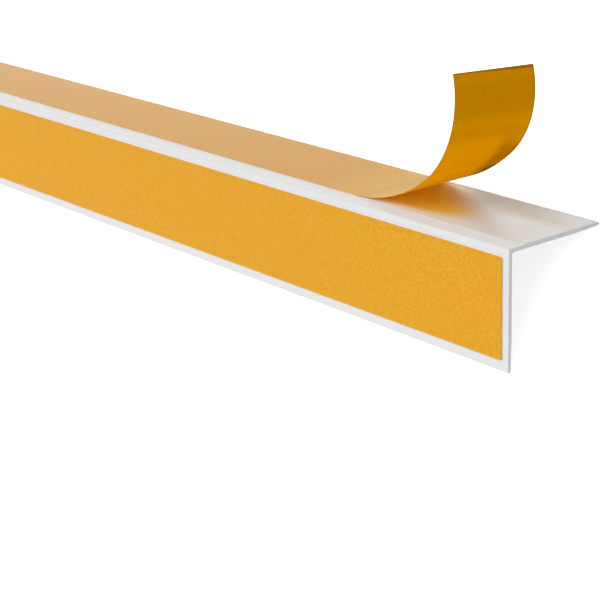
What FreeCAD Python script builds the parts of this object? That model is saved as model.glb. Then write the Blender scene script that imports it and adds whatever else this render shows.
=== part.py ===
import FreeCAD, Part
import math
import os
import Sketcher

# Corner guard moulding: an extruded plastic angle with self-adhesive outer faces.
# Two equal flanges meet at a right angle. Their free edges thin out and end in a round nose.
# Each outer face carries a strip of adhesive under a paper release liner. The side liner lies
# flat, and the top liner is peeled back from one end and stands up in a curl.
#
# Each piece is drawn in the strip's own directions. The cut end with the curl is at X = 0 and
# the strip runs to -X. The outer corner is the line Y = Z = 0. The top flange reaches +Y with
# its outer face in Z = 0, and the side flange reaches -Z with its outer face in Y = 0.
# The pieces are then turned together into the tent that the strip comes to rest as, with both
# free edges on the floor, the corner up, and the middle of the whole at X = Y = 0.

SIZES = {
    # The extruded angle
    "stock_length": 1000.0,
    "flange_width": 30.0,
    "wall": 1.0,
    "edge_wall": 0.7,
    "edge_taper": 7.5,
    "outer_corner_radius": 0.4,
    "inner_corner_radius": 0.5,
    # The adhesive tape and its liners
    "tape_width": 25.0,
    "tape_corner_radius": 0.6,
    "side_tape_margin": 2.2,
    "side_tape_end_gap": 1.9,
    "top_tape_margin": 4.6,
    "top_tape_end_gap": 0.2,
    "adhesive_thickness": 0.2,
    "liner_thickness": 0.1,
    # The curl of the peeled liner, from the line where it lifts: two tangent arcs along its edge
    # beside the corner, and two along its edge beside the flange's free edge
    "peel_distance": 58.6,
    "corner_lift_radius": 44.8,
    "corner_lift_angle": 32.2,
    "corner_curl_radius": 27.4,
    "corner_curl_angle": 69.6,
    "edge_lift_radius": 46.1,
    "edge_lift_angle": 41.6,
    "edge_curl_radius": 22.4,
    "edge_curl_angle": 63.9,
}

REST_TURN = -45.0

# The curl's height beside the free edge, and how far the turned strip reaches to each side
LIFTED = "(Sizes.edge_lift_angle * 1 deg)"
CURLED = "((Sizes.edge_lift_angle + Sizes.edge_curl_angle) * 1 deg)"
CURL_HEIGHT = (
    f"(Sizes.edge_lift_radius * (1 - cos({LIFTED}))"
    f" + Sizes.edge_curl_radius * (cos({LIFTED}) - cos({CURLED})))"
)
CURL_REACH = (
    "((Sizes.top_tape_margin + Sizes.tape_width + Sizes.adhesive_thickness"
    f" + {CURL_HEIGHT}) / sqrt(2))"
)
SIDE_REACH = "((Sizes.flange_width - Sizes.edge_wall) / sqrt(2) + Sizes.edge_wall / 2)"
CORNER_HEIGHT = "Sizes.flange_width / sqrt(2) + Sizes.edge_wall / 2"


def make_sheet(doc):
    """Write the driving dimensions, in millimetres and degrees, into the sheet."""
    sheet = doc.addObject("Spreadsheet::Sheet", "Sizes")
    for row, (alias, value) in enumerate(SIZES.items(), start=1):
        sheet.set(f"A{row}", alias)
        sheet.set(f"B{row}", str(value))
        sheet.setAlias(f"B{row}", alias)
    doc.recompute()
    return sheet


def new_body(doc, label):
    body = doc.addObject("PartDesign::Body", label)
    body.Label = label
    return body


def new_sketch(body, name, role, offset=None):
    """Add a sketch on one of the body's origin planes, lifted off it by an expression."""
    sketch = body.newObject("Sketcher::SketchObject", name)
    plane = next(item for item in body.Origin.OriginFeatures if item.Role == role)
    sketch.AttachmentSupport = (plane, [""])
    sketch.MapMode = "FlatFace"
    if offset:
        sketch.setExpression("AttachmentOffset.Base.z", offset)
    return sketch


def bind(sketch, name, constraint, expression):
    """Add a named dimension to a sketch and tie it to the sheet."""
    index = sketch.addConstraint(constraint)
    sketch.renameConstraint(index, name)
    sketch.setExpression(f"Constraints.{name}", expression)


def point(x, y):
    return FreeCAD.Vector(x, y, 0)


def line(start, end):
    return Part.LineSegment(start, end)


def arc(centre, radius, start_degrees, end_degrees):
    circle = Part.Circle(centre, FreeCAD.Vector(0, 0, 1), radius)
    return Part.ArcOfCircle(circle, math.radians(start_degrees), math.radians(end_degrees))


def pad(body, sketch, name, expression, reverse=False):
    feature = body.newObject("PartDesign::Pad", name)
    feature.Profile = sketch
    feature.Reversed = reverse
    feature.setExpression("Length", expression)
    sketch.Visibility = False
    return feature


def fillet(body, base, edges, name, expression):
    """Round the edges of a feature that the test picks out."""
    feature = body.newObject("PartDesign::Fillet", name)
    names = [f"Edge{i}" for i, edge in enumerate(base.Shape.Edges, start=1) if edges(edge)]
    feature.Base = (base, names)
    feature.setExpression("Radius", expression)
    return feature


def draw_angle_section(sketch, sheet):
    """Draw the section of the angle: thin flanges that taper to a round nose."""
    width = sheet.flange_width
    wall = sheet.wall
    nose = sheet.edge_wall / 2
    taper = width - sheet.edge_taper
    outer = sheet.outer_corner_radius
    inner = sheet.inner_corner_radius
    # The taper leaves the flat at its start and meets the nose as a tangent
    run = sheet.edge_taper - nose
    drop = wall - nose
    lean = math.degrees(math.atan2(drop, run) - math.asin(nose / math.hypot(run, drop)))
    nose_x = nose * math.sin(math.radians(lean))
    nose_y = nose * math.cos(math.radians(lean))
    geometry = [
        line(point(outer, 0), point(width - nose, 0)),
        arc(point(width - nose, -nose), nose, lean - 90, 90),
        line(point(width - nose + nose_x, -nose - nose_y), point(taper, -wall)),
        line(point(taper, -wall), point(wall + inner, -wall)),
        arc(point(wall + inner, -wall - inner), inner, 90, 180),
        line(point(wall, -wall - inner), point(wall, -taper)),
        line(point(wall, -taper), point(nose + nose_y, nose - width - nose_x)),
        arc(point(nose, nose - width), nose, 180, 360 - lean),
        line(point(0, nose - width), point(0, -outer)),
        arc(point(outer, -outer), outer, 90, 180),
    ]
    (top, top_nose, top_taper, top_flat, inner_arc,
     side_flat, side_taper, side_nose, side, outer_arc) = sketch.addGeometry(geometry, False)
    start, end, centre, origin, x_axis, y_axis = 1, 2, 3, -1, -1, -2
    joins = [
        ("Tangent", top, end, top_nose, end),
        ("Tangent", top_nose, start, top_taper, start),
        ("Coincident", top_taper, end, top_flat, start),
        ("Tangent", top_flat, end, inner_arc, start),
        ("Tangent", inner_arc, end, side_flat, start),
        ("Coincident", side_flat, end, side_taper, start),
        ("Tangent", side_taper, end, side_nose, end),
        ("Tangent", side_nose, start, side, start),
        ("Tangent", side, end, outer_arc, end),
        ("Tangent", outer_arc, start, top, start),
    ]
    for join in joins:
        sketch.addConstraint(Sketcher.Constraint(*join))
    sketch.addConstraint(Sketcher.Constraint("Horizontal", top_flat))
    sketch.addConstraint(Sketcher.Constraint("Vertical", side_flat))
    sketch.addConstraint(Sketcher.Constraint("PointOnObject", top, start, x_axis))
    sketch.addConstraint(Sketcher.Constraint("PointOnObject", top, end, x_axis))
    sketch.addConstraint(Sketcher.Constraint("PointOnObject", side, start, y_axis))
    sketch.addConstraint(Sketcher.Constraint("PointOnObject", side, end, y_axis))
    sketch.addConstraint(Sketcher.Constraint("Equal", top_nose, side_nose))
    bind(sketch, "nose_radius", Sketcher.Constraint("Radius", top_nose, nose), "Sizes.edge_wall / 2")
    bind(sketch, "outer_radius", Sketcher.Constraint("Radius", outer_arc, outer),
         "Sizes.outer_corner_radius")
    bind(sketch, "inner_radius", Sketcher.Constraint("Radius", inner_arc, inner),
         "Sizes.inner_corner_radius")
    bind(sketch, "top_reach",
         Sketcher.Constraint("DistanceX", origin, 1, top_nose, centre, width - nose),
         "Sizes.flange_width - Sizes.edge_wall / 2")
    bind(sketch, "side_reach",
         Sketcher.Constraint("DistanceY", side_nose, centre, origin, 1, width - nose),
         "Sizes.flange_width - Sizes.edge_wall / 2")
    bind(sketch, "top_taper_start",
         Sketcher.Constraint("DistanceX", origin, 1, top_flat, start, taper),
         "Sizes.flange_width - Sizes.edge_taper")
    bind(sketch, "side_taper_start",
         Sketcher.Constraint("DistanceY", side_flat, end, origin, 1, taper),
         "Sizes.flange_width - Sizes.edge_taper")
    bind(sketch, "top_wall",
         Sketcher.Constraint("DistanceY", top_flat, start, origin, 1, wall), "Sizes.wall")
    bind(sketch, "side_wall",
         Sketcher.Constraint("DistanceX", origin, 1, side_flat, end, wall), "Sizes.wall")


def draw_tape_outline(sketch, sheet, face, side):
    """Draw the plan of the side or top face's tape: a long strip with small round corners.

    side is 1 where the tape lies above the sketch's X axis and -1 where it lies below.
    """
    gap = getattr(sheet, f"{face}_tape_end_gap")
    radius = sheet.tape_corner_radius
    margin = getattr(sheet, f"{face}_tape_margin")
    left = gap - sheet.stock_length
    right = -gap
    edges = sorted([side * margin, side * (margin + sheet.tape_width)])
    low, high = edges
    geometry = [
        line(point(left + radius, low), point(right - radius, low)),
        arc(point(right - radius, low + radius), radius, 270, 360),
        line(point(right, low + radius), point(right, high - radius)),
        arc(point(right - radius, high - radius), radius, 0, 90),
        line(point(right - radius, high), point(left + radius, high)),
        arc(point(left + radius, high - radius), radius, 90, 180),
        line(point(left, high - radius), point(left, low + radius)),
        arc(point(left + radius, low + radius), radius, 180, 270),
    ]
    items = sketch.addGeometry(geometry, False)
    for item, following in zip(items, items[1:] + items[:1]):
        sketch.addConstraint(Sketcher.Constraint("Tangent", item, 2, following, 1))
    bottom, first_arc, right_end, second_arc, top, third_arc, left_end, fourth_arc = items
    sketch.addConstraint(Sketcher.Constraint("Horizontal", bottom))
    sketch.addConstraint(Sketcher.Constraint("Vertical", right_end))
    for other in (second_arc, third_arc, fourth_arc):
        sketch.addConstraint(Sketcher.Constraint("Equal", first_arc, other))
    near_edge = bottom if side > 0 else top
    bind(sketch, "corner_radius", Sketcher.Constraint("Radius", first_arc, radius),
         "Sizes.tape_corner_radius")
    bind(sketch, "width", Sketcher.Constraint("DistanceY", bottom, 1, top, 2, sheet.tape_width),
         "Sizes.tape_width")
    if side > 0:
        margin_constraint = Sketcher.Constraint("DistanceY", -1, 1, near_edge, 1, margin)
    else:
        margin_constraint = Sketcher.Constraint("DistanceY", near_edge, 1, -1, 1, margin)
    bind(sketch, "margin", margin_constraint, f"Sizes.{face}_tape_margin")
    bind(sketch, "near_gap", Sketcher.Constraint("DistanceX", right_end, 1, -1, 1, gap),
         f"Sizes.{face}_tape_end_gap")
    bind(sketch, "far_reach", Sketcher.Constraint("DistanceX", left_end, 1, -1, 1, -left),
         f"Sizes.stock_length - Sizes.{face}_tape_end_gap")


def add_angle_profile(doc, sheet):
    """Extrude the plastic angle."""
    body = new_body(doc, "angle_profile")
    section = new_sketch(body, "AngleSection", "YZ_Plane")
    draw_angle_section(section, sheet)
    pad(body, section, "AngleExtrusion", "Sizes.stock_length", reverse=True)
    return body


def add_flat_strip(doc, sheet, label, face, thickness, lift=None):
    """Lay a flat strip of tape or liner on the side or the top face."""
    role, side = {"side": ("XZ_Plane", -1), "top": ("XY_Plane", 1)}[face]
    body = new_body(doc, label)
    outline = new_sketch(body, f"{label}_outline", role, lift)
    draw_tape_outline(outline, sheet, face, side)
    pad(body, outline, f"{label}_pad", thickness)
    return body


def draw_flat_run(sketch, sheet):
    """Draw the plan of the liner where it still lies on its adhesive."""
    far = sheet.top_tape_end_gap - sheet.stock_length
    lift_off = -sheet.peel_distance
    low = sheet.top_tape_margin
    high = low + sheet.tape_width
    corners = [point(far, low), point(lift_off, low), point(lift_off, high), point(far, high)]
    sides = [line(a, b) for a, b in zip(corners, corners[1:] + corners[:1])]
    ring = sketch.addGeometry(sides, False)
    for item, following in zip(ring, ring[1:] + ring[:1]):
        sketch.addConstraint(Sketcher.Constraint("Coincident", item, 2, following, 1))
    corner_side, peel_line, edge_side, far_end = ring
    for item in (corner_side, edge_side):
        sketch.addConstraint(Sketcher.Constraint("Horizontal", item))
    for item in (peel_line, far_end):
        sketch.addConstraint(Sketcher.Constraint("Vertical", item))
    bind(sketch, "margin", Sketcher.Constraint("DistanceY", -1, 1, corner_side, 1, low),
         "Sizes.top_tape_margin")
    bind(sketch, "width", Sketcher.Constraint("DistanceY", peel_line, 1, peel_line, 2, high - low),
         "Sizes.tape_width")
    bind(sketch, "peel_reach", Sketcher.Constraint("DistanceX", peel_line, 1, -1, 1, -lift_off),
         "Sizes.peel_distance")
    bind(sketch, "far_reach", Sketcher.Constraint("DistanceX", far_end, 2, -1, 1, -far),
         "Sizes.stock_length - Sizes.top_tape_end_gap")


def draw_curl_edge(sketch, sheet, side):
    """Draw one edge of the curl, as thick as the liner, from the peel line to the tip.

    Its underside leaves the adhesive as a tangent and turns through two tangent arcs, and its
    face is the same curve one liner thickness inside. side says whose arcs they are: those of
    the edge beside the corner or beside the free edge.
    """
    level = sheet.adhesive_thickness
    thick = sheet.liner_thickness
    start_x = -sheet.peel_distance
    lift_radius = getattr(sheet, f"{side}_lift_radius")
    curl_radius = getattr(sheet, f"{side}_curl_radius")
    lifted = getattr(sheet, f"{side}_lift_angle")
    curled = lifted + getattr(sheet, f"{side}_curl_angle")
    lift_centre = point(start_x, level + lift_radius)
    step = lift_radius - curl_radius
    toward = math.radians(lifted - 90)
    curl_centre = lift_centre + point(step * math.cos(toward), step * math.sin(toward))
    tip = math.radians(curled - 90)
    tip_ray = point(math.cos(tip), math.sin(tip))
    geometry = [
        arc(lift_centre, lift_radius, -90, lifted - 90),
        arc(curl_centre, curl_radius, lifted - 90, curled - 90),
        line(curl_centre + tip_ray * curl_radius, curl_centre + tip_ray * (curl_radius - thick)),
        arc(curl_centre, curl_radius - thick, lifted - 90, curled - 90),
        arc(lift_centre, lift_radius - thick, -90, lifted - 90),
        line(point(start_x, level + thick), point(start_x, level)),
    ]
    under_lift, under_curl, tip_end, face_curl, face_lift, peel_end = sketch.addGeometry(
        geometry, False)
    constraints = [
        ("Tangent", under_lift, 2, under_curl, 1),
        ("Coincident", under_curl, 2, tip_end, 1),
        ("Coincident", tip_end, 2, face_curl, 2),
        ("Tangent", face_lift, 2, face_curl, 1),
        ("Coincident", face_lift, 1, peel_end, 1),
        ("Coincident", peel_end, 2, under_lift, 1),
        ("Coincident", under_lift, 3, face_lift, 3),
        ("Coincident", under_curl, 3, face_curl, 3),
        ("PointOnObject", under_curl, 3, tip_end),
        ("Vertical", peel_end),
        ("Vertical", under_lift, 3, under_lift, 1),
    ]
    for constraint in constraints:
        sketch.addConstraint(Sketcher.Constraint(*constraint))
    bind(sketch, "peel_reach", Sketcher.Constraint("DistanceX", under_lift, 1, -1, 1, -start_x),
         "Sizes.peel_distance")
    bind(sketch, "level", Sketcher.Constraint("DistanceY", -1, 1, under_lift, 1, level),
         "Sizes.adhesive_thickness")
    bind(sketch, "thickness", Sketcher.Constraint("DistanceY", peel_end, 2, peel_end, 1, thick),
         "Sizes.liner_thickness")
    bind(sketch, "lift_radius", Sketcher.Constraint("Radius", under_lift, lift_radius),
         f"Sizes.{side}_lift_radius")
    bind(sketch, "curl_radius", Sketcher.Constraint("Radius", under_curl, curl_radius),
         f"Sizes.{side}_curl_radius")
    bind(sketch, "lift_angle",
         Sketcher.Constraint("Angle", under_lift, math.radians(lifted)),
         f"Sizes.{side}_lift_angle * 1 deg")
    bind(sketch, "curl_angle",
         Sketcher.Constraint("Angle", under_curl, math.radians(curled - lifted)),
         f"Sizes.{side}_curl_angle * 1 deg")


def add_peeled_liner(doc, sheet):
    """Lay the liner's flat run, and loft its curl between its two edges."""
    body = new_body(doc, "release_liner_top")
    run = new_sketch(body, "FlatRunPlan", "XY_Plane", "Sizes.adhesive_thickness")
    draw_flat_run(run, sheet)
    pad(body, run, "FlatRun", "Sizes.liner_thickness")
    corner_edge = new_sketch(body, "CurlAtCornerSide", "XZ_Plane", "-Sizes.top_tape_margin")
    draw_curl_edge(corner_edge, sheet, "corner")
    free_edge = new_sketch(body, "CurlAtEdgeSide", "XZ_Plane",
                           "-(Sizes.top_tape_margin + Sizes.tape_width)")
    draw_curl_edge(free_edge, sheet, "edge")
    doc.recompute()
    curl = body.newObject("PartDesign::AdditiveLoft", "Curl")
    curl.Profile = corner_edge
    curl.Sections = [free_edge]
    curl.Ruled = True
    doc.recompute()
    far = sheet.top_tape_end_gap - sheet.stock_length

    def is_far_corner(edge):
        first, last = edge.Vertexes[0].Point, edge.Vertexes[-1].Point
        at_far_end = all(abs(spot.x - far) < 1e-6 for spot in (first, last))
        return at_far_end and abs(first.z - last.z) > 1e-6

    fillet(body, curl, is_far_corner, "FarCorners", "Sizes.tape_corner_radius")
    return body


def rest_on_floor(bodies):
    """Turn the strip into its tent, with both free edges on the floor and its middle at the origin."""
    for body in bodies:
        body.Placement.Rotation = FreeCAD.Rotation(FreeCAD.Vector(1, 0, 0), REST_TURN)
        body.setExpression("Placement.Base.x", "Sizes.stock_length / 2")
        body.setExpression("Placement.Base.y", f"({SIDE_REACH} - {CURL_REACH}) / 2")
        body.setExpression("Placement.Base.z", CORNER_HEIGHT)


def check_and_export(doc, bodies):
    """Refuse a failed or broken shape, then write each piece to its own STEP file."""
    for item in doc.Objects:
        if {"Invalid", "Error"} & set(item.State):
            raise RuntimeError(f"{item.Label} failed: {item.State}")
    os.makedirs("parts", exist_ok=True)
    for body in bodies:
        shape = body.Shape
        if shape.isNull() or not shape.isValid() or len(shape.Solids) != 1:
            raise RuntimeError(f"{body.Label} is not one valid solid")
        shape.exportStep(f"parts/{body.Label}.step")
        box = shape.BoundBox
        print(f"{body.Label}: volume {shape.Volume:.2f} mm3, "
              f"x {box.XMin:.2f} to {box.XMax:.2f}, y {box.YMin:.2f} to {box.YMax:.2f}, "
              f"z {box.ZMin:.2f} to {box.ZMax:.2f}")


def main():
    doc = FreeCAD.newDocument("corner_guard_moulding")
    sheet = make_sheet(doc)
    bodies = [
        add_angle_profile(doc, sheet),
        add_flat_strip(doc, sheet, "adhesive_strip_side", "side", "Sizes.adhesive_thickness"),
        add_flat_strip(doc, sheet, "release_liner_side", "side", "Sizes.liner_thickness",
                       lift="Sizes.adhesive_thickness"),
        add_flat_strip(doc, sheet, "adhesive_strip_top", "top", "Sizes.adhesive_thickness"),
        add_peeled_liner(doc, sheet),
    ]
    rest_on_floor(bodies)
    doc.recompute()
    check_and_export(doc, bodies)


main()
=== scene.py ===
"""Corner guard moulding: the looks of the strip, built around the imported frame.

A white extruded angle lies like a tent on its two free edges. Each outer face carries a strip of
adhesive under a yellow paper liner. The top liner is peeled back from one cut end and stands up
in a curl. Lengths are in metres and angles in degrees, unless a name says otherwise.
"""

import logging
import math
from collections.abc import Callable
from dataclasses import dataclass
from enum import Enum

import bmesh
import bpy
from mathutils import Matrix, Vector

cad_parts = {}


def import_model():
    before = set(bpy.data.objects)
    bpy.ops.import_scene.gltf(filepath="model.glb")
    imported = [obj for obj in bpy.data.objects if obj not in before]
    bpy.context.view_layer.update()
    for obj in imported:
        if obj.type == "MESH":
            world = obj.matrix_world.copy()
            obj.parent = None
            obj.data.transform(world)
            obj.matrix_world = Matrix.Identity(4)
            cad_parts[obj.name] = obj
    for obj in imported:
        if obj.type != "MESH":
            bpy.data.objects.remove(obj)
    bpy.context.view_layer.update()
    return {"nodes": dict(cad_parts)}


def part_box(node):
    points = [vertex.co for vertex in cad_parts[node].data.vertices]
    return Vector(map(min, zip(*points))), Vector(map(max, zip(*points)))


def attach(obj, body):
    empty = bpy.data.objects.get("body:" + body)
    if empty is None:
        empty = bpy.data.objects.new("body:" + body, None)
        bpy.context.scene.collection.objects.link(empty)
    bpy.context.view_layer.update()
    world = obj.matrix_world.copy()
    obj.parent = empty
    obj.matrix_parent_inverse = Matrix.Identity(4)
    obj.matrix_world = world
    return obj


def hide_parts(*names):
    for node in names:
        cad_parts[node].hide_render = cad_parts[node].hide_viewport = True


log = logging.getLogger("corner_guard")

MM = 0.001
BODY = "root"

Colour = tuple[float, float, float]
Direction = tuple[float, float, float]
Place = tuple[float, float, float]
Stretch = tuple[float, float, float]
Span = tuple[float, float]
Band = tuple[float, float, float, float]
Number = bpy.types.NodeSocket | float
Tint = bpy.types.NodeSocket | Colour

# Directions in the frame: along the strip, away from the top flange, across it and back.
ALONG = (1.0, 0.0, 0.0)
OFF_FLANGE = (0.0, math.sqrt(0.5), math.sqrt(0.5))
ACROSS_FLANGE = (0.0, math.sqrt(0.5), -math.sqrt(0.5))
TOWARD_CORNER = (0.0, -math.sqrt(0.5), math.sqrt(0.5))

WHITE = (1.0, 1.0, 1.0)

# Where a noise goes from none to full. A narrow span gives crisp flecks and a wide one clouds.
CLOUD_SPAN = (0.3, 0.7)
STREAK_SPAN = (0.35, 0.65)
FLECK_SPAN = (0.36, 0.64)
WHOLE_SPAN = (0.0, 1.0)

# How far a vertex may lie from the place where it is looked for, and be merged with another.
NEAR = 0.01 * MM
SAME = 0.001 * MM


class Side(Enum):
    """The sides of the paper, as the order of its materials."""

    FACE = 0
    UNDERSIDE = 1
    CUT_EDGE = 2


def linear(red: int, green: int, blue: int) -> Colour:
    """Turn a colour as a screen shows it into the renderer's own.

    Args:
        red: Red from 0 to 255.
        green: Green from 0 to 255.
        blue: Blue from 0 to 255.

    Returns:
        The colour in linear light.
    """
    parts = []
    for part in (red, green, blue):
        share = part / 255
        parts.append(share / 12.92 if share <= 0.04045 else ((share + 0.055) / 1.055) ** 2.4)
    return tuple(parts)


@dataclass(frozen=True)
class Tent:
    """How the strip's own directions are turned into the tent that it rests as.

    In its own directions the cut end with the curl is at X = 0 and the strip runs to -X. The outer
    corner is the line Y = Z = 0, the top flange reaches +Y and the side flange -Z.
    """

    half_length: float
    corner_y: float
    flange_width: float = 30.0 * MM
    edge_wall: float = 0.7 * MM
    turn: float = -45.0

    @classmethod
    def from_frame(cls) -> "Tent":
        """Read the strip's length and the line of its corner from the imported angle."""
        low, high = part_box("angle_profile")
        return cls(half_length=high.x, corner_y=(low.y + high.y) / 2)

    def matrix(self) -> Matrix:
        """Work out the move from the strip's own directions to the frame.

        Returns:
            The move.
        """
        corner_z = self.flange_width / math.sqrt(2) + self.edge_wall / 2
        place = Matrix.Translation((self.half_length, self.corner_y, corner_z))
        return place @ Matrix.Rotation(math.radians(self.turn), 4, "X")


class NodeBench:
    """Adds and joins the nodes of one material or world."""

    def __init__(self, owner: bpy.types.ID) -> None:
        """Empty the owner's node tree and keep it.

        Args:
            owner: The material or world.
        """
        owner.use_nodes = True
        self.tree = owner.node_tree
        self.tree.nodes.clear()

    def add(self, kind: str, inputs: dict[str | int, object] | None = None,
            **settings: object) -> bpy.types.Node:
        """Add a node.

        Args:
            kind: The node's type, such as ShaderNodeMath.
            inputs: Values or output sockets for its inputs, by name or number.
            settings: The node's own properties.

        Returns:
            The new node.
        """
        node = self.tree.nodes.new(kind)
        for name, value in settings.items():
            setattr(node, name, value)
        for name, value in (inputs or {}).items():
            if isinstance(value, bpy.types.NodeSocket):
                self.tree.links.new(value, node.inputs[name])
            else:
                node.inputs[name].default_value = value
        return node

    def math(self, operation: str, first: Number, second: Number = 0.0) -> bpy.types.NodeSocket:
        """Add a Math node and give its result."""
        return self.add("ShaderNodeMath", {0: first, 1: second}, operation=operation).outputs[0]

    def spread(self, value: bpy.types.NodeSocket, results: Span, over: Span) -> bpy.types.NodeSocket:
        """Carry a value from one range to another, smoothly and clamped.

        Args:
            value: The value to carry.
            results: The results where the value is at the start and at the end of its range.
            over: Where the value's range starts and ends.

        Returns:
            The carried value.
        """
        names = {
            "Value": value,
            "From Min": over[0],
            "From Max": over[1],
            "To Min": results[0],
            "To Max": results[1],
        }
        node = self.add("ShaderNodeMapRange", names, interpolation_type="SMOOTHSTEP")
        return node.outputs["Result"]

    def rise(self, value: bpy.types.NodeSocket, over: Span) -> bpy.types.NodeSocket:
        """Go from 0 to 1 while a value passes through a span."""
        return self.spread(value, (0.0, 1.0), over)

    def fall(self, value: bpy.types.NodeSocket, over: Span) -> bpy.types.NodeSocket:
        """Go from 1 to 0 while a value passes through a span."""
        return self.spread(value, (1.0, 0.0), over)

    def band(self, value: bpy.types.NodeSocket, over: Band) -> bpy.types.NodeSocket:
        """Give 1 where a value lies in a band and 0 outside it, with soft flanks.

        Args:
            value: The value.
            over: Where the band starts, is full, is still full, and ends.

        Returns:
            The share, from 0 to 1.
        """
        start, full, fading, end = over
        return self.math("MULTIPLY", self.rise(value, (start, full)), self.fall(value, (fading, end)))

    def between(self, share: Number, first: Number, second: Number) -> bpy.types.NodeSocket:
        """Blend two numbers, which a Mix node takes at its inputs 2 and 3."""
        return self.add("ShaderNodeMix", {0: share, 2: first, 3: second}, data_type="FLOAT").outputs[0]

    def blend(self, share: Number, first: Tint, second: Tint, kind: str = "MIX") -> bpy.types.NodeSocket:
        """Blend two colours, which a Mix node takes at its inputs 6 and 7.

        Args:
            share: How much of the second colour there is.
            first: A linear colour or a colour socket.
            second: A linear colour or a colour socket.
            kind: MIX or MULTIPLY.

        Returns:
            The blended colour.
        """
        node = self.add("ShaderNodeMix", {0: share}, data_type="RGBA", blend_type=kind)
        for socket, value in ((node.inputs[6], first), (node.inputs[7], second)):
            if isinstance(value, bpy.types.NodeSocket):
                self.tree.links.new(value, socket)
            else:
                socket.default_value = (*value, 1.0)
        return node.outputs[2]

    def place(self) -> bpy.types.NodeSocket:
        """Give the place on the piece, in its own coordinates."""
        return self.add("ShaderNodeTexCoord").outputs["Object"]

    def facing(self) -> bpy.types.NodeSocket:
        """Give how far the surface is turned from the eye, from 0 to 1."""
        return self.add("ShaderNodeLayerWeight").outputs["Facing"]

    def grain(self, stretch: Stretch, detail: float = 2.0, roughness: float = 0.5) -> bpy.types.NodeSocket:
        """Add a noise on the piece's own coordinates.

        Args:
            stretch: How many grains a metre holds along each direction.
            detail: How many finer grains are added.
            roughness: How strong the finer grains are.

        Returns:
            The noise, about 0.5 in the middle.
        """
        scaled = self.add("ShaderNodeMapping", {"Vector": self.place(), "Scale": stretch},
                          vector_type="POINT")
        names = {"Vector": scaled.outputs[0], "Scale": 1.0, "Detail": detail, "Roughness": roughness}
        return self.add("ShaderNodeTexNoise", names).outputs["Fac"]

    def measure(self, direction: Direction) -> bpy.types.NodeSocket:
        """Measure, in metres, how far along a direction each place of the piece lies."""
        node = self.add("ShaderNodeVectorMath", {0: self.place(), 1: direction}, operation="DOT_PRODUCT")
        return node.outputs["Value"]

    def bump(self, height: bpy.types.NodeSocket, distance: float, strength: float) -> bpy.types.NodeSocket:
        """Add a bump and give its normal."""
        names = {"Height": height, "Distance": distance, "Strength": strength}
        return self.add("ShaderNodeBump", names).outputs["Normal"]

    def principled(self, inputs: dict[str, object]) -> bpy.types.NodeSocket:
        """Add a Principled shader and give its output."""
        return self.add("ShaderNodeBsdfPrincipled", inputs).outputs[0]

    def surface(self, shader: bpy.types.NodeSocket, output: str = "ShaderNodeOutputMaterial") -> None:
        """Join a shader to the output."""
        self.add(output, {"Surface": shader})


@dataclass(frozen=True)
class PlasticFinish:
    """White rigid plastic, drawn through a die: faint lines run along it, and its ends are sawn."""

    half_length: float
    tone: Colour = linear(229, 229, 230)
    # Painted sheen: the tone turns lighter where the surface is seen at a low angle.
    painted_sheen_tone: Colour = linear(244, 245, 246)
    low_angle: Span = (0.5, 0.8)
    line_shade: Colour = (0.97, 0.97, 0.97)
    sawn_tone: Colour = linear(230, 230, 229)
    lines: Stretch = (1.5, 1100.0, 1100.0)
    saw_marks: Stretch = (900.0, 2600.0, 500.0)
    end_depth: float = 0.03 * MM
    roughness: Span = (0.44, 0.5)
    sawn_roughness: float = 0.6
    refraction: float = 1.5
    specular: float = 0.2
    sheen: float = 0.9
    sheen_roughness: float = 0.5
    relief_depth: float = 0.01 * MM
    relief_strength: float = 0.06

    def make(self) -> bpy.types.Material:
        """Make the material.

        Returns:
            The material.
        """
        material = bpy.data.materials.new("white_rigid_plastic")
        bench = NodeBench(material)
        from_middle = bench.math("ABSOLUTE", bench.measure(ALONG))
        at_end = bench.math("GREATER_THAN", from_middle, self.half_length - self.end_depth)
        lines = bench.grain(self.lines)
        marks = bench.grain(self.saw_marks)
        # Painted sheen over the plastic's own tone, lighter at a low angle.
        tone = bench.blend(bench.rise(bench.facing(), self.low_angle), self.tone, self.painted_sheen_tone)
        shade = bench.blend(bench.rise(lines, CLOUD_SPAN), self.line_shade, WHITE)
        drawn = bench.blend(1.0, tone, shade, "MULTIPLY")
        satin = bench.spread(lines, self.roughness, CLOUD_SPAN)
        rough = bench.math("MAXIMUM", satin, bench.math("MULTIPLY", at_end, self.sawn_roughness))
        relief = bench.between(at_end, lines, marks)
        bench.surface(bench.principled({
            "Base Color": bench.blend(at_end, drawn, self.sawn_tone),
            "Roughness": rough,
            "IOR": self.refraction,
            "Specular IOR Level": self.specular,
            "Sheen Weight": self.sheen,
            "Sheen Roughness": self.sheen_roughness,
            "Normal": bench.bump(relief, self.relief_depth, self.relief_strength),
        }))
        return material


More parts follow.
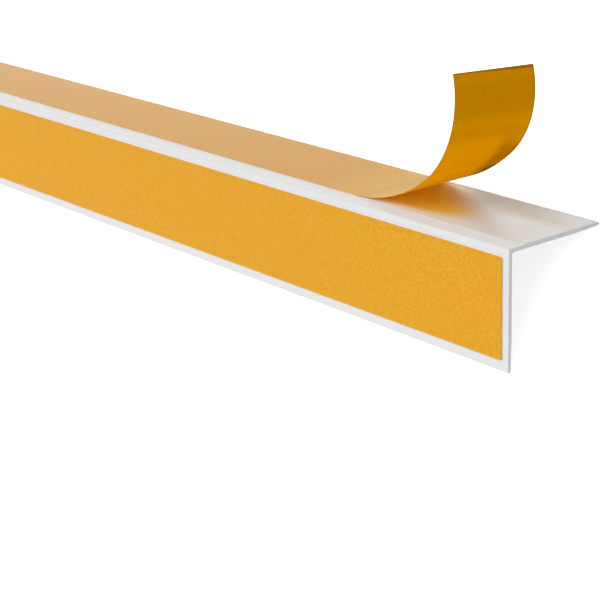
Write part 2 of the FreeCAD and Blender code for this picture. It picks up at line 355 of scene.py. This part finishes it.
@dataclass(frozen=True)
class AdhesiveFinish:
    """A cream layer of glossy adhesive, a little cloudy and not quite flat.

    Where it is bared, a painted orange glow of light let through the paper warms it by the peel line,
    and a painted shadow of the curl lies faintly beyond. It has a dark line and a pale rim beside the
    flange's free edge; painted light makes it pale beside the curl, along the corner and at its cut
    end, and painted shade darkens its thin wall by the corner.
    """

    name: str
    bared: bool = False
    clear_tone: Colour = linear(223, 223, 221)
    cloudy_tone: Colour = linear(217, 215, 211)
    # Painted orange glow of light let through the peeled paper, by the peel line, with its flanks.
    painted_glow_tone: Colour = linear(235, 200, 76)
    painted_glow_from: Span = (434.0 * MM, 441.0 * MM)
    painted_glow_flanks: tuple[tuple[Direction, Span], ...] = (
        ((1.0, 1.5, -1.5), (443.5 * MM, 463.0 * MM)),
        ((1.0, -1.06, 1.06), (486.0 * MM, 501.0 * MM)),
        (TOWARD_CORNER, (14.5 * MM, 19.2 * MM)),
    )
    # Painted shadow of the curl, faint, on the far side beyond the glow.
    painted_curl_shadow_tone: Colour = linear(197, 188, 168)
    painted_curl_shadow_along: Direction = (1.0, 1.2, -1.2)
    painted_curl_shadow_band: Band = (460.0 * MM, 470.0 * MM, 480.0 * MM, 504.0 * MM)
    painted_curl_shadow_from: Span = (-7.0 * MM, -1.0 * MM)
    # Painted light: paler beside the curl and along the corner, where shade and orange light fall.
    painted_light_tone: Colour = linear(243, 247, 238)
    painted_light_border: Span = (12.0 * MM, 19.0 * MM)
    painted_light_border_until: Span = (476.0 * MM, 496.0 * MM)
    painted_light_border_end: float = 0.3
    painted_light_across: Span = (-3.0 * MM, 4.0 * MM)
    painted_light_until: Span = (455.0 * MM, 470.0 * MM)
    # Painted light on the cut end, which the lamp lights less.
    painted_end_light_tone: Colour = linear(252, 252, 251)
    painted_end_light_from: float = 499.7 * MM
    line_tone: Colour = linear(190, 188, 183)
    line_band: Band = (4.4 * MM, 4.8 * MM, 5.0 * MM, 5.3 * MM)
    rim_tone: Colour = linear(240, 240, 238)
    rim_from: Span = (5.1 * MM, 5.3 * MM)
    # Painted shade on the thin wall by the corner.
    painted_wall_shade_tone: Colour = linear(201, 194, 184)
    painted_wall_shade_from: float = 19.23 * MM
    waves: Stretch = (90.0, 220.0, 220.0)
    clouds: Stretch = (35.0, 70.0, 70.0)
    roughness: Span = (0.28, 0.36)
    refraction: float = 1.5
    relief_depth: float = 0.02 * MM
    relief_strength: float = 0.3

    def make(self) -> bpy.types.Material:
        """Make the material.

        Returns:
            The material.
        """
        material = bpy.data.materials.new(self.name)
        bench = NodeBench(material)
        clouds = bench.grain(self.clouds, detail=3.0)
        waves = bench.grain(self.waves)
        cream = bench.blend(bench.rise(clouds, CLOUD_SPAN), self.clear_tone, self.cloudy_tone)
        if self.bared:
            cream = self.mark(bench, cream)
        bench.surface(bench.principled({
            "Base Color": cream,
            "Roughness": bench.spread(waves, self.roughness, CLOUD_SPAN),
            "IOR": self.refraction,
            "Normal": bench.bump(waves, self.relief_depth, self.relief_strength),
        }))
        return material

    def mark(self, bench: NodeBench, cream: bpy.types.NodeSocket) -> bpy.types.NodeSocket:
        """Add the marks of the bared adhesive: its painted glow, shadow, light and shade, its dark line
        and its pale rim.

        Args:
            bench: The material's nodes.
            cream: The adhesive's own tone.

        Returns:
            The marked tone.
        """
        across = bench.measure(ACROSS_FLANGE)
        along = bench.measure(ALONG)
        beside = bench.measure(TOWARD_CORNER)
        off_corner = bench.rise(across, self.painted_curl_shadow_from)
        # Painted shadow of the curl, faint, beyond the glow.
        slanted = bench.band(bench.measure(self.painted_curl_shadow_along), self.painted_curl_shadow_band)
        tone = bench.blend(bench.math("MULTIPLY", slanted, off_corner), cream, self.painted_curl_shadow_tone)
        # Painted light beside the curl and along the corner, fading toward the cut end.
        painted_light_by_curl = bench.math("MULTIPLY", bench.rise(across, self.painted_light_across),
                             bench.fall(along, self.painted_light_until))
        toward_end = bench.spread(along, (1.0, self.painted_light_border_end), self.painted_light_border_until)
        painted_light_by_corner = bench.math("MULTIPLY", bench.rise(beside, self.painted_light_border), toward_end)
        tone = bench.blend(bench.math("MAXIMUM", painted_light_by_corner, painted_light_by_curl), tone, self.painted_light_tone)
        # Painted orange glow of light let through the paper, by the peel line.
        painted_glow = bench.rise(along, self.painted_glow_from)
        for direction, fading in self.painted_glow_flanks:
            painted_glow = bench.math("MULTIPLY", painted_glow, bench.fall(bench.measure(direction), fading))
        tone = bench.blend(painted_glow, tone, self.painted_glow_tone)
        tone = bench.blend(bench.band(across, self.line_band), tone, self.line_tone)
        tone = bench.blend(bench.rise(across, self.rim_from), tone, self.rim_tone)
        # Painted shade on the thin wall by the corner.
        wall = bench.math("GREATER_THAN", beside, self.painted_wall_shade_from)
        tone = bench.blend(wall, tone, self.painted_wall_shade_tone)
        # Painted light on the cut end.
        return bench.blend(bench.math("GREATER_THAN", along, self.painted_end_light_from), tone, self.painted_end_light_tone)


@dataclass(frozen=True)
class Tones:
    """The tones of one sheet of paper: its own, and the dark and light flecks of its grain."""

    middle: Colour
    dark: Colour
    light: Colour


@dataclass(frozen=True)
class Glow:
    """How the paper lets light through where it stands free of the adhesive.

    The shares are those of the light that scatters through, by the peel line and by the curl's tip.
    The paper's own tone is multiplied by a gain at each of the two places, which paints light and shade
    there. The gain starts a little before the peel line, up to the share that before_share gives.
    """

    tint: Colour
    by_peel: float
    by_tip: float
    painted_peel_gain: Colour
    painted_tip_gain: Colour
    peel_x: float = 441.4 * MM
    lift_length: float = 4.0 * MM
    before_length: float = 20.0 * MM
    before_share: float = 0.3
    rising: Span = (14.0 * MM, 37.0 * MM)


@dataclass(frozen=True)
class Border:
    """A dark border of the paper: its direction, where the paper ends, its width and its depth."""

    direction: Direction
    end: float
    width: float
    depth: float


@dataclass(frozen=True)
class MarksAndPaintedShade:
    """Dark marks on the curl: faint bands across it, painted shade and dark borders.

    A patch of painted shade lies beside the free edge, in a band of its own direction. More painted
    shade lies along the free edge too, low on the curl. The last border is painted shade by the peel line.
    """

    tone: Colour = (0.16, 0.0, 0.0)
    band_along: Direction = (1.0, 0.5, 0.5)
    bands_per_metre: float = 160.0
    band_depth: float = 0.1
    # Painted shade of a patch beside the free edge.
    painted_shade_along: Direction = (0.725, 0.569, 0.385)
    painted_shade_band: Band = (343.5 * MM, 350.0 * MM, 357.0 * MM, 365.0 * MM)
    painted_shade_across: Span = (-3.2 * MM, 1.0 * MM)
    painted_shade_depth: float = 0.4
    borders: tuple[Border, ...] = (
        Border(ACROSS_FLANGE, 5.76 * MM, 0.7 * MM, 0.5),
        Border(TOWARD_CORNER, 19.24 * MM, 0.7 * MM, 0.3),
        Border((0.0, 0.7608, 0.6534), 41.09 * MM, 0.6 * MM, 0.5),
        # Painted shade along the peel line, where the curl leaves the adhesive.
        Border((-1.0, 0.0, 0.0), -441.4 * MM, 14.0 * MM, 0.26),
    )
    # Painted shade along the free edge, low on the curl.
    painted_low_shade_across: Span = (0.0, 3.6 * MM)
    painted_low_shade_depth: float = 0.78
    painted_low_shade_band: Band = (9.5 * MM, 12.0 * MM, 13.5 * MM, 18.0 * MM)
    speckle_depth: float = 0.07


@dataclass(frozen=True)
class PaperFinish:
    """Dyed release paper: a fine mottled grain, soft clouds and more sheen at a low angle."""

    name: str
    tones: Tones
    roughness: float = 0.36
    roughness_range: float = 0.05
    refraction: float = 1.47
    specular: Span = (0.063, 0.175)
    low_angle: Span = (0.6, 0.95)
    glow: Glow | None = None
    marks_and_shade: MarksAndPaintedShade | None = None
    mottle: Stretch = (2300.0, 2300.0, 2300.0)
    clouds: Stretch = (45.0, 45.0, 45.0)
    cloud_share: float = 0.5
    relief_depth: float = 0.02 * MM
    relief_strength: float = 0.3

    def make(self) -> bpy.types.Material:
        """Make the material.

        Returns:
            The material.
        """
        material = bpy.data.materials.new(self.name)
        bench = NodeBench(material)
        mottle = bench.grain(self.mottle, roughness=0.6)
        colour = self.shade(bench, mottle)
        dark = self.darken_marks_and_shade(bench, self.marks_and_shade, mottle) if self.marks_and_shade else 0.0
        # Painted light and shade by the peel line and by the curl's tip.
        if self.glow:
            colour = self.gain(bench, colour, self.glow)
        # Painted shade and dark marks on the curl.
        if self.marks_and_shade:
            colour = bench.blend(dark, colour, self.marks_and_shade.tone)
        rough = (self.roughness - self.roughness_range, self.roughness + self.roughness_range)
        paper = bench.principled({
            "Base Color": colour,
            "Roughness": bench.spread(mottle, rough, CLOUD_SPAN),
            "IOR": self.refraction,
            "Specular IOR Level": bench.spread(bench.facing(), self.specular, self.low_angle),
            "Normal": bench.bump(mottle, self.relief_depth, self.relief_strength),
        })
        if self.glow:
            paper = self.let_through(bench, paper, self.glow, dark)
        bench.surface(paper)
        return material

    def shade(self, bench: NodeBench, mottle: bpy.types.NodeSocket) -> bpy.types.NodeSocket:
        """Lay flecks and clouds over the paper's own tone.

        Args:
            bench: The material's nodes.
            mottle: The fine grain.

        Returns:
            The colour.
        """
        clouds = bench.grain(self.clouds)
        flecks = bench.blend(bench.rise(mottle, FLECK_SPAN), self.tones.dark, self.tones.light)
        return bench.blend(bench.spread(clouds, (0.0, self.cloud_share), CLOUD_SPAN), flecks,
                           self.tones.middle)

    @staticmethod
    def stages(bench: NodeBench, glow: Glow) -> tuple[bpy.types.NodeSocket, bpy.types.NodeSocket]:
        """Find how free the paper stands, and how near the curl's tip it is.

        Args:
            bench: The material's nodes.
            glow: Where the paper lifts and rises.

        Returns:
            Both values, from 0 to 1.
        """
        lifted = bench.rise(bench.measure(ALONG), (glow.peel_x, glow.peel_x + glow.lift_length))
        return lifted, bench.rise(bench.measure(OFF_FLANGE), glow.rising)

    def gain(self, bench: NodeBench, colour: bpy.types.NodeSocket, glow: Glow) -> bpy.types.NodeSocket:
        """Multiply the paper's tone by the gains of its place, which paint light and shade there.

        Args:
            bench: The material's nodes.
            colour: The paper's tone.
            glow: The gains.

        Returns:
            The changed tone.
        """
        lifted, near_tip = self.stages(bench, glow)
        before = (glow.peel_x - glow.before_length, glow.peel_x)
        near_peel = bench.spread(bench.measure(ALONG), (0.0, glow.before_share), before)
        share = bench.math("MAXIMUM", lifted, near_peel)
        gains = bench.blend(near_tip, glow.painted_peel_gain, glow.painted_tip_gain)
        return bench.blend(share, colour, bench.blend(1.0, colour, gains, "MULTIPLY"))

    @staticmethod
    def darken_marks_and_shade(bench: NodeBench, marks_and_shade: MarksAndPaintedShade, mottle: bpy.types.NodeSocket) -> bpy.types.NodeSocket:
        """Find how dark the bands, the painted shade, the borders and the grain make each place.

        Args:
            bench: The material's nodes.
            marks_and_shade: Where the marks and the painted shade are, and how deep.
            mottle: The fine grain.

        Returns:
            The share of the light that they take, from 0 to 1.
        """
        along = bench.measure(marks_and_shade.band_along)
        names = {"W": along, "Scale": marks_and_shade.bands_per_metre, "Detail": 2.0}
        bands = bench.add("ShaderNodeTexNoise", names, noise_dimensions="1D").outputs["Fac"]
        across = bench.measure(ACROSS_FLANGE)
        # Painted shade of a patch beside the free edge.
        beside = bench.spread(across, (0.0, marks_and_shade.painted_shade_depth), marks_and_shade.painted_shade_across)
        slanted = bench.band(bench.measure(marks_and_shade.painted_shade_along), marks_and_shade.painted_shade_band)
        dark = bench.math("MULTIPLY", beside, slanted)
        dark = bench.math("ADD", dark, bench.spread(bands, (0.0, marks_and_shade.band_depth), STREAK_SPAN))
        dark = bench.math("ADD", dark, bench.spread(mottle, (marks_and_shade.speckle_depth, 0.0), FLECK_SPAN))
        for border in marks_and_shade.borders:
            inward = (border.end - border.width, border.end)
            edge = bench.spread(bench.measure(border.direction), (0.0, border.depth), inward)
            dark = bench.math("MAXIMUM", dark, edge)
        # Painted shade along the free edge, low on the curl.
        by_edge = bench.spread(across, (0.0, marks_and_shade.painted_low_shade_depth), marks_and_shade.painted_low_shade_across)
        low_down = bench.band(bench.measure(OFF_FLANGE), marks_and_shade.painted_low_shade_band)
        return bench.math("MAXIMUM", dark, bench.math("MULTIPLY", by_edge, low_down))

    def let_through(self, bench: NodeBench, paper: bpy.types.NodeSocket, glow: Glow,
                    dark: Number) -> bpy.types.NodeSocket:
        """Let light through the paper where it stands free.

        Args:
            bench: The material's nodes.
            paper: The paper's own shader.
            glow: How much light passes, and its tint.
            dark: The share of the light that marks take.

        Returns:
            The mixed shader.
        """
        lifted, near_tip = self.stages(bench, glow)
        passing = bench.spread(near_tip, (glow.by_peel, glow.by_tip), WHOLE_SPAN)
        share = bench.math("MULTIPLY", lifted, passing)
        share = bench.math("MULTIPLY", share, bench.math("SUBTRACT", 1.0, dark))
        behind = bench.add("ShaderNodeBsdfTranslucent", {"Color": (*glow.tint, 1.0)}).outputs[0]
        return bench.add("ShaderNodeMixShader", {0: share, 1: paper, 2: behind}).outputs[0]


FACE_TONES = Tones(linear(226, 162, 42), linear(220, 154, 32), linear(233, 171, 54))

PAPER_FACE = PaperFinish("yellow_paper_face", FACE_TONES)
PEELED_FACE = PaperFinish(
    name="yellow_paper_peeled_face",
    tones=FACE_TONES,
    glow=Glow(
        tint=(1.0, 0.78, 0.03),
        by_peel=0.34,
        by_tip=0.35,
        # Painted highlight by the peel line: paler and less yellow.
        painted_peel_gain=(1.22, 1.77, 4.7),
        # Painted light by the curl's tip.
        painted_tip_gain=(1.1, 1.2, 1.0),
    ),
)
PEELED_UNDERSIDE = PaperFinish(
    name="yellow_paper_silicone_side",
    tones=Tones((0.87, 0.42, 0.0), (0.83, 0.39, 0.0), (0.91, 0.45, 0.0)),
    roughness=0.4,
    specular=(0.0, 0.0),
    glow=Glow(
        tint=(1.0, 0.65, 0.0),
        by_peel=0.58,
        by_tip=0.3,
        painted_peel_gain=(1.0, 1.0, 1.0),
        # Painted shade by the curl's tip.
        painted_tip_gain=(0.78, 0.75, 1.0),
    ),
    marks_and_shade=MarksAndPaintedShade(),
)
PAPER_EDGE = PaperFinish(
    name="paper_cut_edge",
    tones=Tones(linear(192, 140, 62), linear(180, 128, 52), linear(204, 152, 74)),
    roughness=0.7,
    specular=(0.0, 0.0),
)


def choose(piece: bpy.types.Object) -> None:
    """Select only one piece and make it the active one.

    Args:
        piece: The piece.
    """
    bpy.ops.object.select_all(action="DESELECT")
    piece.select_set(True)
    bpy.context.view_layer.objects.active = piece


def start_editing(piece: bpy.types.Object, mode: str) -> None:
    """Go to edit mode on one piece with nothing selected in it.

    Args:
        piece: The piece.
        mode: VERT, EDGE or FACE.
    """
    bpy.context.view_layer.objects.active = piece
    bpy.ops.object.mode_set(mode="EDIT")
    bpy.ops.mesh.select_mode(type=mode)
    bpy.ops.mesh.select_all(action="DESELECT")


def select_vertices(piece: bpy.types.Object, chosen: Callable[[Vector], bool]) -> None:
    """Go to edit mode and select only the vertices that pass a test.

    Args:
        piece: The piece.
        chosen: The test of a vertex's place.
    """
    start_editing(piece, "VERT")
    cage = bmesh.from_edit_mesh(piece.data)
    for vertex in cage.verts:
        vertex.select_set(chosen(vertex.co))
    cage.select_flush(True)
    bmesh.update_edit_mesh(piece.data)


def select_edges(piece: bpy.types.Object, chosen: Callable[[Vector, Vector], bool]) -> None:
    """Go to edit mode and select only the edges that pass a test.

    Args:
        piece: The piece.
        chosen: The test of the places of an edge's two ends.
    """
    start_editing(piece, "EDGE")
    cage = bmesh.from_edit_mesh(piece.data)
    for edge in cage.edges:
        edge.select_set(chosen(edge.verts[0].co, edge.verts[1].co))
    bmesh.update_edit_mesh(piece.data)


@dataclass(frozen=True)
class CurlEdge:
    """One edge of the curl: the two tangent arcs that its underside turns through."""

    lift_radius: float
    lift_angle: float
    curl_radius: float
    curl_angle: float

    def arcs(self, start: Vector) -> list[tuple[Vector, float]]:
        """Give the centre and the turn, in radians, of each arc.

        Args:
            start: Where the edge leaves the adhesive.

        Returns:
            The two arcs, in order.
        """
        lifted = math.radians(self.lift_angle)
        lift_centre = start + Vector((0.0, 0.0, self.lift_radius))
        toward = Vector((math.sin(lifted), 0.0, -math.cos(lifted)))
        curl_centre = lift_centre + toward * (self.lift_radius - self.curl_radius)
        return [(lift_centre, lifted), (curl_centre, math.radians(self.curl_angle))]


@dataclass
class PeeledLiner:
    """The top flange's liner: a long flat run on its adhesive, and the curl that has been peeled up.

    The curl is a ruled sheet between its edge beside the corner and its edge beside the flange's
    free edge, which turn through arcs of their own.
    """

    tent: Tent
    margin: float = 4.6 * MM
    width: float = 25.0 * MM
    end_gap: float = 0.2 * MM
    corner_radius: float = 0.6 * MM
    level: float = 0.2 * MM
    thickness: float = 0.1 * MM
    peel_distance: float = 58.6 * MM
    corner_edge: CurlEdge = CurlEdge(44.8 * MM, 32.2, 27.4 * MM, 69.6)
    free_edge: CurlEdge = CurlEdge(46.1 * MM, 41.6, 22.4 * MM, 63.9)
    arc_steps: int = 48
    cross_cuts: int = 11
    corner_steps: int = 5
    crossing_share: float = 0.9
    smooth_angle: float = 30.0

    @property
    def far_x(self) -> float:
        """Give the place of the sheet's far end along the strip."""
        return self.end_gap - 2 * self.tent.half_length

    @property
    def middle_y(self) -> float:
        """Give the place of the sheet's middle across the flange."""
        return self.margin + self.width / 2

    def build(self) -> bpy.types.Object:
        """Build the paper and put it in the frame.

        Returns:
            The finished piece.
        """
        paper = self.lay_flat_run()
        self.sweep_edge(paper, self.margin, self.corner_edge)
        self.sweep_edge(paper, self.margin + self.width, self.free_edge)
        self.close_curl(paper)
        self.round_far_corners(paper)
        self.thicken(paper)
        self.place(paper)
        return paper

    def lay_flat_run(self) -> bpy.types.Object:
        """Add the flat run as one face, from the far end to the peel line.

        Returns:
            The sheet.
        """
        length = -self.peel_distance - self.far_x
        middle = Vector((self.far_x + length / 2, self.middle_y, self.level))
        bpy.ops.object.select_all(action="DESELECT")
        bpy.ops.mesh.primitive_plane_add(size=1.0, location=(0.0, 0.0, 0.0))
        paper = bpy.context.active_object
        paper.name = "peeled_paper_liner"
        bpy.ops.object.mode_set(mode="EDIT")
        bpy.ops.mesh.select_all(action="SELECT")
        bpy.ops.transform.resize(value=(length, self.width, 1.0), center_override=(0.0, 0.0, 0.0))
        bpy.ops.transform.translate(value=middle)
        bpy.ops.object.mode_set(mode="OBJECT")
        return paper

    def sweep_edge(self, paper: bpy.types.Object, across: float, edge: CurlEdge) -> None:
        """Spin one end of the peel line into an edge of the curl.

        Args:
            paper: The sheet.
            across: Where the edge is across the flange.
            edge: The edge's arcs.
        """
        start = Vector((-self.peel_distance, across, self.level))
        select_vertices(paper, lambda spot: (spot - start).length < NEAR)
        for centre, angle in edge.arcs(start):
            bpy.ops.mesh.spin(steps=self.arc_steps, angle=angle, center=centre, axis=(0.0, 1.0, 0.0))
        bpy.ops.object.mode_set(mode="OBJECT")

    def close_curl(self, paper: bpy.types.Object) -> None:
        """Bridge the curl's two edges and divide the whole sheet across its width.

        Args:
            paper: The sheet.
        """
        peel = -self.peel_distance

        def on_curl(first: Vector, second: Vector) -> bool:
            """Tell whether an edge runs along the curl."""
            return (first.x + second.x) / 2 > peel + SAME and abs(first.y - second.y) < NEAR

        def crosses(first: Vector, second: Vector) -> bool:
            """Tell whether an edge runs across the sheet."""
            return abs(first.y - second.y) > self.crossing_share * self.width

        select_edges(paper, on_curl)
        bpy.ops.mesh.bridge_edge_loops()
        bpy.ops.object.mode_set(mode="OBJECT")
        select_edges(paper, crosses)
        bpy.ops.mesh.subdivide(number_cuts=self.cross_cuts)
        bpy.ops.mesh.select_all(action="SELECT")
        bpy.ops.mesh.remove_doubles(threshold=SAME)
        bpy.ops.mesh.normals_make_consistent(inside=False)
        bpy.ops.object.mode_set(mode="OBJECT")
        if min(paper.data.polygons, key=lambda face: face.center.x).normal.z < 0:
            paper.data.flip_normals()

    def round_far_corners(self, paper: bpy.types.Object) -> None:
        """Round the two corners at the strip's far end.

        Args:
            paper: The sheet.
        """

        def is_corner(spot: Vector) -> bool:
            """Tell whether a place is one of the two corners."""
            return abs(spot.x - self.far_x) < NEAR and abs(spot.y - self.middle_y) > self.width / 2 - NEAR

        select_vertices(paper, is_corner)
        bpy.ops.mesh.bevel(offset=self.corner_radius, segments=self.corner_steps, affect="VERTICES")
        bpy.ops.object.mode_set(mode="OBJECT")

    def thicken(self, paper: bpy.types.Object) -> None:
        """Give the sheet its thickness, with its own material on each side and on the cut edge.

        Args:
            paper: The sheet.
        """
        finishes = {Side.FACE: PEELED_FACE, Side.UNDERSIDE: PEELED_UNDERSIDE, Side.CUT_EDGE: PAPER_EDGE}
        for side in Side:
            paper.data.materials.append(finishes[side].make())
        choose(paper)
        wall = paper.modifiers.new("paper_wall", "SOLIDIFY")
        wall.thickness = self.thickness
        wall.offset = 1.0
        wall.use_even_offset = True
        wall.material_offset = Side.UNDERSIDE.value
        wall.material_offset_rim = Side.CUT_EDGE.value
        bpy.ops.object.modifier_apply(modifier=wall.name)
        # Smoothed only now: done on the bare sheet, it bends the normals along the cut edge.
        bpy.ops.object.shade_smooth_by_angle(angle=math.radians(self.smooth_angle))

    def place(self, paper: bpy.types.Object) -> None:
        """Turn the sheet into the tent, with its place in its mesh.

        Args:
            paper: The sheet.
        """
        paper.matrix_world = self.tent.matrix()
        choose(paper)
        bpy.ops.object.transform_apply(location=True, rotation=True, scale=True)
        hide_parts("release_liner_top")
        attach(paper, BODY)


@dataclass
class TapedAngle:
    """The plastic angle and what lies flat on it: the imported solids, with their finishes."""

    tent: Tent
    nodes: dict[str, bpy.types.Object]

    def dress(self) -> None:
        """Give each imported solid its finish."""
        finishes = {
            "angle_profile": PlasticFinish(self.tent.half_length),
            "adhesive_strip_side": AdhesiveFinish("cream_adhesive"),
            "adhesive_strip_top": AdhesiveFinish("bared_cream_adhesive", bared=True),
            "release_liner_side": PAPER_FACE,
        }
        for name, finish in finishes.items():
            material = finish.make()
            self.assign(self.nodes[name], material)
            log.info("%s: %s", name, material.name)

    @staticmethod
    def assign(node: bpy.types.Object, material: bpy.types.Material) -> None:
        """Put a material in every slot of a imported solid.

        Args:
            node: The solid.
            material: The material.
        """
        if not node.material_slots:
            node.data.materials.append(material)
        for slot in node.material_slots:
            slot.material = material


@dataclass
class Studio:
    """A plain pale floor, a white surround and one wide soft lamp overhead."""

    floor_size: float = 30.0
    floor_tone: Colour = (0.8, 0.8, 0.8)
    floor_lift: float = 0.77
    surround_light: float = 0.32
    lamp_strength: float = 2.3
    lamp_width: float = 70.0
    lamp_from: Direction = (-0.15, -0.27, 0.9)

    def build(self) -> None:
        """Build the floor, the surround and the lamp."""
        self.lay_floor()
        self.light_surround()
        self.hang_lamp()

    @staticmethod
    def seen_directly(bench: NodeBench) -> bpy.types.NodeSocket:
        """Tell the rays that show a surface from those that only light one.

        Args:
            bench: The material's or world's nodes.

        Returns:
            1 for camera, glossy and transmission rays and 0 for the rest.
        """
        rays = bench.add("ShaderNodeLightPath").outputs
        seen = bench.math("MAXIMUM", rays["Is Camera Ray"], rays["Is Glossy Ray"])
        return bench.math("MAXIMUM", seen, rays["Is Transmission Ray"])

    def lay_floor(self) -> None:
        """Add a wide matt floor that reads as white and keeps the shadow."""
        bpy.ops.object.select_all(action="DESELECT")
        bpy.ops.mesh.primitive_plane_add(size=self.floor_size, location=(0.0, 0.0, 0.0))
        floor = bpy.context.active_object
        floor.name = "pale_floor"
        material = bpy.data.materials.new("pale_floor")
        bench = NodeBench(material)
        matt = bench.add("ShaderNodeBsdfDiffuse", {"Color": (*self.floor_tone, 1.0)})
        lift = bench.math("MULTIPLY", self.seen_directly(bench), self.floor_lift)
        glow = bench.add("ShaderNodeEmission", {"Strength": lift})
        both = bench.add("ShaderNodeAddShader", {0: matt.outputs[0], 1: glow.outputs[0]})
        bench.surface(both.outputs[0])
        floor.data.materials.append(material)

    def light_surround(self) -> None:
        """Make a world that is white to look at and dimmer as a light."""
        world = bpy.data.worlds.new("pale_surround")
        bpy.context.scene.world = world
        bench = NodeBench(world)
        strength = bench.between(self.seen_directly(bench), self.surround_light, 1.0)
        glow = bench.add("ShaderNodeBackground", {"Color": (*WHITE, 1.0), "Strength": strength})
        bench.surface(glow.outputs[0], "ShaderNodeOutputWorld")

    def hang_lamp(self) -> None:
        """Add the lamp: light from above, over the side flange and away from the cut end."""
        lamp = bpy.data.lights.new("wide_overhead_lamp", "SUN")
        lamp.energy = self.lamp_strength
        lamp.angle = math.radians(self.lamp_width)
        holder = bpy.data.objects.new("wide_overhead_lamp", lamp)
        holder.rotation_mode = "QUATERNION"
        holder.rotation_quaternion = Vector(self.lamp_from).to_track_quat("Z", "Y")
        bpy.context.scene.collection.objects.link(holder)


@dataclass
class Portrait:
    """The camera of the photograph, given in the strip's own directions."""

    tent: Tent
    place: Place = (254.88 * MM, -261.78 * MM, 116.73 * MM)
    azimuth: float = 51.64
    elevation: float = 19.30
    roll: float = -2.10
    lens_mm: float = 102.17
    sensor_mm: float = 36.0
    near_limit: float = 10.0 * MM

    def aim(self) -> None:
        """Add the camera and make it the scene's."""
        data = bpy.data.cameras.new("portrait_camera")
        data.lens = self.lens_mm
        data.sensor_width = self.sensor_mm
        data.clip_start = self.near_limit
        camera = bpy.data.objects.new("portrait_camera", data)
        bpy.context.scene.collection.objects.link(camera)
        turn = (
            Matrix.Rotation(math.radians(self.azimuth), 4, "Z")
            @ Matrix.Rotation(math.radians(90.0 - self.elevation), 4, "X")
            @ Matrix.Rotation(math.radians(self.roll), 4, "Z")
        )
        camera.matrix_world = self.tent.matrix() @ Matrix.Translation(self.place) @ turn
        bpy.context.scene.camera = camera


def main() -> None:
    logging.basicConfig(level=logging.INFO)
    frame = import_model()
    scene = bpy.context.scene
    scene.view_settings.view_transform = "Standard"
    tent = Tent.from_frame()
    Portrait(tent).aim()
    paper = PeeledLiner(tent).build()
    log.info("%s: %d faces", paper.name, len(paper.data.polygons))
    TapedAngle(tent, frame["nodes"]).dress()
    Studio().build()


if __name__ == "__main__":
    main()
